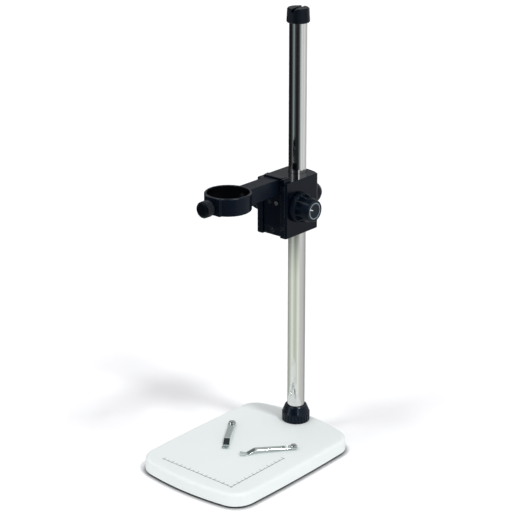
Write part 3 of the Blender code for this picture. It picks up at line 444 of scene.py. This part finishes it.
bm = bmesh.new()
bmesh.ops.create_grid(bm, x_segments=2, y_segments=2, size=30.0)
me = bpy.data.meshes.new("floor")
bm.to_mesh(me)
bm.free()
floor = bpy.data.objects.new("floor", me)
COLL.objects.link(floor)
fm = bpy.data.materials.new("floor_white")
fm.use_nodes = True
nt = fm.node_tree
nt.nodes.clear()
out = nt.nodes.new("ShaderNodeOutputMaterial")
lp = nt.nodes.new("ShaderNodeLightPath")
dif = nt.nodes.new("ShaderNodeBsdfDiffuse")
occ = nt.nodes.new("ShaderNodeAmbientOcclusion")
occ.samples = 8
occ.inputs["Distance"].default_value = 5 * MM
occ.inputs["Color"].default_value = (1.0, 1.0, 1.0, 1.0)
deep = nt.nodes.new("ShaderNodeMath")
deep.operation = "POWER"
deep.inputs[1].default_value = 1.8
nt.links.new(occ.outputs["AO"], deep.inputs[0])
shade = nt.nodes.new("ShaderNodeMix")       # the deeper contact shade is seen, but lights nothing
shade.data_type = "RGBA"
nt.links.new(lp.outputs["Is Camera Ray"], shade.inputs["Factor"])
ab = [s for s in shade.inputs if s.type == "RGBA"]
ab[0].default_value = (0.97, 0.97, 0.975, 1.0)
cool = nt.nodes.new("ShaderNodeVectorMath")   # shadows a touch blue
cool.operation = "MULTIPLY"
cool.inputs[1].default_value = (0.976, 0.979, 1.0)
nt.links.new(deep.outputs[0], cool.inputs[0])
nt.links.new(cool.outputs["Vector"], ab[1])
nt.links.new([s for s in shade.outputs if s.type == "RGBA"][0], dif.inputs["Color"])
# in mirror reflections the floor glows with painted light: bands round the compass, bright near the stand and dim far
# off, stand in for the studio the mirrors reflect
emi = nt.nodes.new("ShaderNodeEmission")
geo = nt.nodes.new("ShaderNodeNewGeometry")
off = nt.nodes.new("ShaderNodeVectorMath")
off.operation = "SUBTRACT"
off.inputs[1].default_value = (COL_X, COL_Y, 0.0)
nt.links.new(geo.outputs["Position"], off.inputs[0])
fac, _ = around(nt, off.outputs["Vector"])
far = ramp_nodes(nt, fac, FAR)
near = ramp_nodes(nt, fac, NEAR)
dist = nt.nodes.new("ShaderNodeVectorMath")
dist.operation = "LENGTH"
nt.links.new(off.outputs["Vector"], dist.inputs[0])
step = nt.nodes.new("ShaderNodeMapRange")
step.interpolation_type = "SMOOTHSTEP"
step.inputs["From Min"].default_value = 0.39
step.inputs["From Max"].default_value = 0.68
late = ramp_nodes(nt, fac, [(deg(-180), 0.0), (deg(18), 0.0), (deg(38), 1.0), (deg(64), 1.0), (deg(88), 0.0)])
back = nt.nodes.new("ShaderNodeMath")
back.operation = "MULTIPLY_ADD"
nt.links.new(late, back.inputs[0])
back.inputs[1].default_value = -0.22
nt.links.new(dist.outputs["Value"], back.inputs[2])
nt.links.new(back.outputs[0], step.inputs["Value"])
mixc = nt.nodes.new("ShaderNodeMix")
mixc.data_type = "RGBA"
nt.links.new(step.outputs["Result"], mixc.inputs["Factor"])
ab = [s for s in mixc.inputs if s.type == "RGBA"]
nt.links.new(near, ab[0])
nt.links.new(far, ab[1])
# beyond two metres the glowing floor shows the mirrors an even painted room, so the column stays bright from low
# viewpoints
room_glow = ramp_nodes(nt, fac, [(deg(-180), 0.46), (deg(-150), 0.62), (deg(-118), 0.80), (deg(-98), 0.40), (deg(-82), 0.16),
                            (deg(-60), 0.34), (deg(-38), 0.72), (deg(0), 0.80), (deg(30), 0.50), (deg(48), 0.20),
                            (deg(70), 0.62), (deg(110), 0.74), (deg(140), 0.40), (deg(165), 0.30)])
out2 = nt.nodes.new("ShaderNodeMapRange")
out2.interpolation_type = "SMOOTHSTEP"
out2.inputs["From Min"].default_value = 2.1
out2.inputs["From Max"].default_value = 2.9
nt.links.new(dist.outputs["Value"], out2.inputs["Value"])
mixr = nt.nodes.new("ShaderNodeMix")
mixr.data_type = "RGBA"
nt.links.new(out2.outputs["Result"], mixr.inputs["Factor"])
rb = [s for s in mixr.inputs if s.type == "RGBA"]
nt.links.new([s for s in mixc.outputs if s.type == "RGBA"][0], rb[0])
nt.links.new(room_glow, rb[1])
nt.links.new([s for s in mixr.outputs if s.type == "RGBA"][0], emi.inputs["Color"])
mx = nt.nodes.new("ShaderNodeMixShader")
nt.links.new(lp.outputs["Is Glossy Ray"], mx.inputs["Fac"])
nt.links.new(dif.outputs[0], mx.inputs[1])
nt.links.new(emi.outputs[0], mx.inputs[2])
nt.links.new(mx.outputs[0], out.inputs["Surface"])
floor.data.materials.append(fm)

SOFTBOX = 3.2
world = bpy.data.worlds.new("studio")
SCENE.world = world
world.use_nodes = True
wt = world.node_tree
wt.nodes.clear()
wout = wt.nodes.new("ShaderNodeOutputWorld")
wlp = wt.nodes.new("ShaderNodeLightPath")
bg_cam = wt.nodes.new("ShaderNodeBackground")
bg_cam.inputs["Color"].default_value = (1.0, 1.0, 1.0, 1.0)
bg_cam.inputs["Strength"].default_value = 1.1
bg = wt.nodes.new("ShaderNodeBackground")
wtc = wt.nodes.new("ShaderNodeTexCoord")
wfac, wz = around(wt, wtc.outputs["Generated"])
ring_c = ramp_nodes(wt, wfac, [(deg(-180), 0.10), (deg(-150), 0.20), (deg(-125), 0.45), (deg(-112), 0.80), (deg(-98), 0.25),
                               (deg(-75), 0.04), (deg(-48), 0.05), (deg(-34), 0.70), (deg(-10), 0.75), (deg(60), 0.75),
                               (deg(110), 0.56), (deg(134), 0.36), (deg(150), 0.05), (deg(178), 0.05)])
zen = ramp_nodes(wt, wz, [(0.0, 0.0), (0.42, 0.0), (0.60, 1.0)])
top_c = ramp_nodes(wt, wz, [(0.0, (0.50, 0.51, 0.53)), (0.74, (0.50, 0.51, 0.53)), (0.88, (0.03, 0.034, 0.036))])
wmix = wt.nodes.new("ShaderNodeMix")
wmix.data_type = "RGBA"
wt.links.new(zen, wmix.inputs["Factor"])
ab = [s for s in wmix.inputs if s.type == "RGBA"]
wt.links.new(ring_c, ab[0])
wt.links.new(top_c, ab[1])
# two tall softboxes, left and right of the camera
box_a = ramp_nodes(wt, wfac, [(deg(-121), 0.0), (deg(-118), 1.0), (deg(-108), 1.0), (deg(-105), 0.0),
                              (deg(-35), 0.0), (deg(-32), 1.0), (deg(-21), 1.0), (deg(-18), 0.0)])
box_z = ramp_nodes(wt, wz, [(0.12, 0.0), (0.16, 1.0), (0.40, 1.0), (0.46, 0.0)])
both = wt.nodes.new("ShaderNodeVectorMath")
both.operation = "MULTIPLY"
wt.links.new(box_a, both.inputs[0])
wt.links.new(box_z, both.inputs[1])
bright = wt.nodes.new("ShaderNodeVectorMath")
bright.operation = "MULTIPLY_ADD"
wt.links.new(both.outputs["Vector"], bright.inputs[0])
bright.inputs[1].default_value = (SOFTBOX, SOFTBOX, SOFTBOX)
wt.links.new([s for s in wmix.outputs if s.type == "RGBA"][0], bright.inputs[2])
wt.links.new(bright.outputs["Vector"], bg.inputs["Color"])
bg.inputs["Strength"].default_value = 1.0
# even studio fill for everything that is not a mirror reflection
fill_z = ramp_nodes(wt, wz, [(0.0, 1.0), (0.25, 0.97), (0.60, 0.52), (1.0, 0.42)])
fill_a = ramp_nodes(wt, wfac, [(deg(-180), 0.90), (deg(-130), 1.02), (deg(-95), 1.08), (deg(-50), 0.98), (deg(0), 0.88), (deg(90), 0.84), (deg(178), 0.90)])
fmul = wt.nodes.new("ShaderNodeVectorMath")
fmul.operation = "MULTIPLY"
wt.links.new(fill_z, fmul.inputs[0])
wt.links.new(fill_a, fmul.inputs[1])
bg_fill = wt.nodes.new("ShaderNodeBackground")
wt.links.new(fmul.outputs["Vector"], bg_fill.inputs["Color"])
bg_fill.inputs["Strength"].default_value = 1.18
wgl = wt.nodes.new("ShaderNodeMixShader")
wt.links.new(wlp.outputs["Is Glossy Ray"], wgl.inputs["Fac"])
wt.links.new(bg_fill.outputs[0], wgl.inputs[1])
wt.links.new(bg.outputs[0], wgl.inputs[2])
wmx = wt.nodes.new("ShaderNodeMixShader")
wt.links.new(wlp.outputs["Is Camera Ray"], wmx.inputs["Fac"])
wt.links.new(wgl.outputs[0], wmx.inputs[1])
wt.links.new(bg_cam.outputs[0], wmx.inputs[2])
wt.links.new(wmx.outputs[0], wout.inputs["Surface"])


def sun(name, az, el, strength, angle):
    """Light from compass direction az (degrees from +X) and elevation el."""
    li = bpy.data.lights.new(name, "SUN")
    li.energy = strength
    li.angle = math.radians(angle)
    o = bpy.data.objects.new(name, li)
    COLL.objects.link(o)
    a, e = math.radians(az), math.radians(el)
    d = Vector((math.cos(a) * math.cos(e), math.sin(a) * math.cos(e), math.sin(e)))
    o.rotation_euler = d.to_track_quat("Z", "Y").to_euler()
    o.location = d * 2.0
    return o


sun("key_right", -1.0, 56.8, 1.15, 9.0)
sun("key_front", -111.5, 64.6, 0.52, 9.0)

# ---------------------------------------------------------------- camera
cam_data = bpy.data.cameras.new("camera")
cam = bpy.data.objects.new("camera", cam_data)
COLL.objects.link(cam)
CAM = (0.947 + COL_X, -1.155 + COL_Y, 0.7102 + ZT)
cam.location = CAM
cam.rotation_euler = (math.radians(90.0 - 14.70), 0.0, math.radians(40.77))
cam_data.sensor_width = 36.0
cam_data.lens = 1743.0 / 512.0 * 36.0
cam_data.clip_start = 0.01
cam_data.clip_end = 100.0
# the lens shift belongs to this place only: any other view of the stand has none
drv = cam_data.driver_add("shift_y").driver
drv.type = "SCRIPTED"
v = drv.variables.new()
v.name = "x"
v.type = "TRANSFORMS"
v.targets[0].id = cam
v.targets[0].transform_type = "LOC_X"
v.targets[0].transform_space = "WORLD_SPACE"
drv.expression = "-0.328125 if abs(x - %.4f) < 0.0005 else 0.0" % CAM[0]
SCENE.camera = cam
